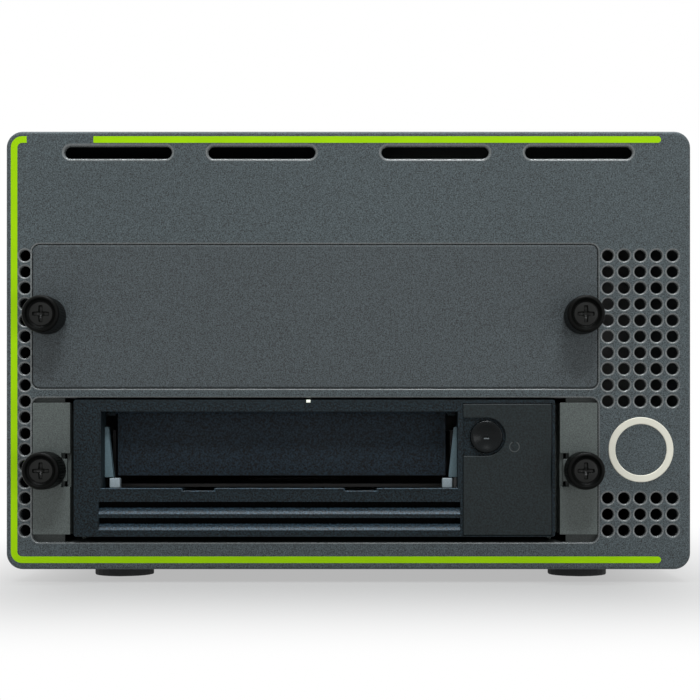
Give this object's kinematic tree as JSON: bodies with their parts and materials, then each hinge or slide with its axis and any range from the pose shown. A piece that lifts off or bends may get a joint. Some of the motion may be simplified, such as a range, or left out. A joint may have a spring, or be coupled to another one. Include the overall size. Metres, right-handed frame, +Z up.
{
  "type": "data tape drive",
  "caption": "Desktop enclosure with a half-height tape drive in its lower bay, a blanking plate over the upper bay, thumbscrews and a perforated front.",
  "frame": {"origin": "middle of the bounding box's bottom face, on the surface the feet stand on", "axes": "+Z up, +X to the right as seen from the front, the front faces -Y"},
  "size_m": [0.2116, 0.3122, 0.1394],
  "materials": {
    "panel_paint": "fine textured powder coat, dark grey",
    "case_paint": "fine textured powder coat, dark grey",
    "cage_steel": "dark zinc coated steel",
    "rubber": "moulded",
    "board": "green solder mask",
    "socket_plastic": "moulded",
    "supply_case": "zinc coated sheet",
    "contact_metal": "nickel plated",
    "fan_plastic": "glass filled, black",
    "ear_paint": "satin paint over sheet steel",
    "drive_cast": "as cast, satin",
    "sheet_steel": "plain sheet",
    "bezel_plastic": "fine spark texture",
    "insert_plastic": "smooth, semi-gloss",
    "light_plastic": "clear white",
    "guide_plastic": "natural acetal",
    "strip_plastic": "grey-teal moulding",
    "motor_metal": "plated can",
    "plate_paint": "fine textured powder coat, dark grey",
    "knob_plastic": "moulded black",
    "screw_black": "black oxide",
    "door_plastic": "fine spark texture",
    "button_plastic": "gloss",
    "reel_plastic": "moulded"
  },
  "bodies": {
    "case": {"front_panel": "panel_paint", "top_cover": "case_paint", "base_tray": "case_paint", "rear_panel": "case_paint", "bay_wall_left": "cage_steel", "bay_wall_right": "cage_steel", "bay_floor_shelf": "cage_steel", "bay_divider_shelf": "cage_steel", "rubber_feet": "rubber", "backplane_board": "board", "backplane_sockets": "socket_plastic", "power_supply": "supply_case", "power_inlet": "socket_plastic", "inlet_blades": "contact_metal", "switch_frame": "socket_plastic", "interface_board": "board", "data_ports": "contact_metal", "fan_frame": "fan_plastic"},
    "drive_module": {"rail_bracket_left": "ear_paint", "rail_bracket_right": "ear_paint", "drive_base": "drive_cast", "drive_lid": "sheet_steel", "drive_bezel": "bezel_plastic", "bezel_control_panel": "insert_plastic", "status_light_pipe": "light_plastic", "cartridge_guides": "guide_plastic", "loader_side_strips": "strip_plastic", "loader_motor": "motor_metal", "reel_motors": "motor_metal", "head_base": "drive_cast", "drive_main_board": "board", "drive_connector": "socket_plastic"},
    "blank_plate": {"blank_plate": "plate_paint"},
    "thumbscrew_upper_left": {"knob_upper_left": "knob_plastic", "screw_upper_left": "screw_black"},
    "thumbscrew_upper_right": {"knob_upper_right": "knob_plastic", "screw_upper_right": "screw_black"},
    "thumbscrew_lower_left": {"knob_lower_left": "knob_plastic", "screw_lower_left": "screw_black"},
    "thumbscrew_lower_right": {"knob_lower_right": "knob_plastic", "screw_lower_right": "screw_black"},
    "cartridge_door": {"cartridge_door": "door_plastic"},
    "eject_button": {"eject_button": "button_plastic"},
    "cartridge_carrier": {"cartridge_carrier": "sheet_steel"},
    "loader_cam_plate": {"loader_cam_plate": "sheet_steel"},
    "hub_clutch": {"hub_clutch": "contact_metal"},
    "take_up_reel": {"take_up_reel": "reel_plastic"},
    "head_carriage": {"head_carriage": "drive_cast"},
    "power_rocker": {"power_rocker": "button_plastic"},
    "fan_rotor": {"fan_rotor": "fan_plastic"}
  },
  "joints": [
    {"name": "drive_slide", "type": "slide", "parent": "case", "child": "drive_module", "axis": [0, -1, 0], "range_m": [0, 0.18]},
    {"name": "blank_plate_pull", "type": "slide", "parent": "case", "child": "blank_plate", "axis": [0, -1, 0], "range_m": [0, 0.06]},
    {"name": "thumbscrew_upper_left_turn", "type": "hinge", "parent": "blank_plate", "child": "thumbscrew_upper_left", "pos_m": [-0.0927, -0.14385, 0.0822], "axis": [0, -1, 0], "range_deg": [0, 1440]},
    {"name": "thumbscrew_upper_right_turn", "type": "hinge", "parent": "blank_plate", "child": "thumbscrew_upper_right", "pos_m": [0.0721, -0.14385, 0.0822], "axis": [0, -1, 0], "range_deg": [0, 1440]},
    {"name": "thumbscrew_lower_left_turn", "type": "hinge", "parent": "drive_module", "child": "thumbscrew_lower_left", "pos_m": [-0.0927, -0.14385, 0.0347], "axis": [0, -1, 0], "range_deg": [0, 1440]},
    {"name": "thumbscrew_lower_right_turn", "type": "hinge", "parent": "drive_module", "child": "thumbscrew_lower_right", "pos_m": [0.0721, -0.14385, 0.0347], "axis": [0, -1, 0], "range_deg": [0, 1440]},
    {"name": "cartridge_door_swing", "type": "hinge", "parent": "drive_module", "child": "cartridge_door", "pos_m": [-0.0212, -0.13435, 0.0532], "axis": [1, 0, 0], "range_deg": [0, 85], "stiffness_Nm_per_rad": 0.01, "springref_deg": -17.19},
    {"name": "eject_button_press", "type": "slide", "parent": "drive_module", "child": "eject_button", "axis": [0, 1, 0], "range_m": [0, 0.0012], "stiffness_N_per_m": 600},
    {"name": "loader_cam_slide", "type": "slide", "parent": "drive_module", "child": "loader_cam_plate", "axis": [0, 1, 0], "range_m": [0, 0.011]},
    {"name": "cartridge_carrier_drop", "type": "slide", "parent": "drive_module", "child": "cartridge_carrier", "axis": [0, 0, -1], "range_m": [0, 0.0055]},
    {"name": "hub_clutch_spin", "type": "hinge", "parent": "drive_module", "child": "hub_clutch", "pos_m": [-0.0212, -0.07785, 0.0225], "axis": [0, 0, 1], "continuous": true},
    {"name": "take_up_reel_spin", "type": "hinge", "parent": "drive_module", "child": "take_up_reel", "pos_m": [-0.04, 0.02415, 0.0225], "axis": [0, 0, 1], "continuous": true},
    {"name": "head_lift", "type": "slide", "parent": "drive_module", "child": "head_carriage", "axis": [0, 0, 1], "range_m": [-0.003, 0.003]},
    {"name": "power_rocker_tilt", "type": "hinge", "parent": "case", "child": "power_rocker", "pos_m": [-0.038, 0.14965, 0.104], "axis": [-1, 0, 0], "range_deg": [0, 22]},
    {"name": "fan_spin", "type": "hinge", "parent": "case", "child": "fan_rotor", "pos_m": [0.048, 0.13865, 0.084], "axis": [0, 1, 0], "continuous": true}
  ],
  "couplings": [
    {"joint": "cartridge_carrier_drop", "follows": "loader_cam_slide", "ratio": 0.5}
  ]
}
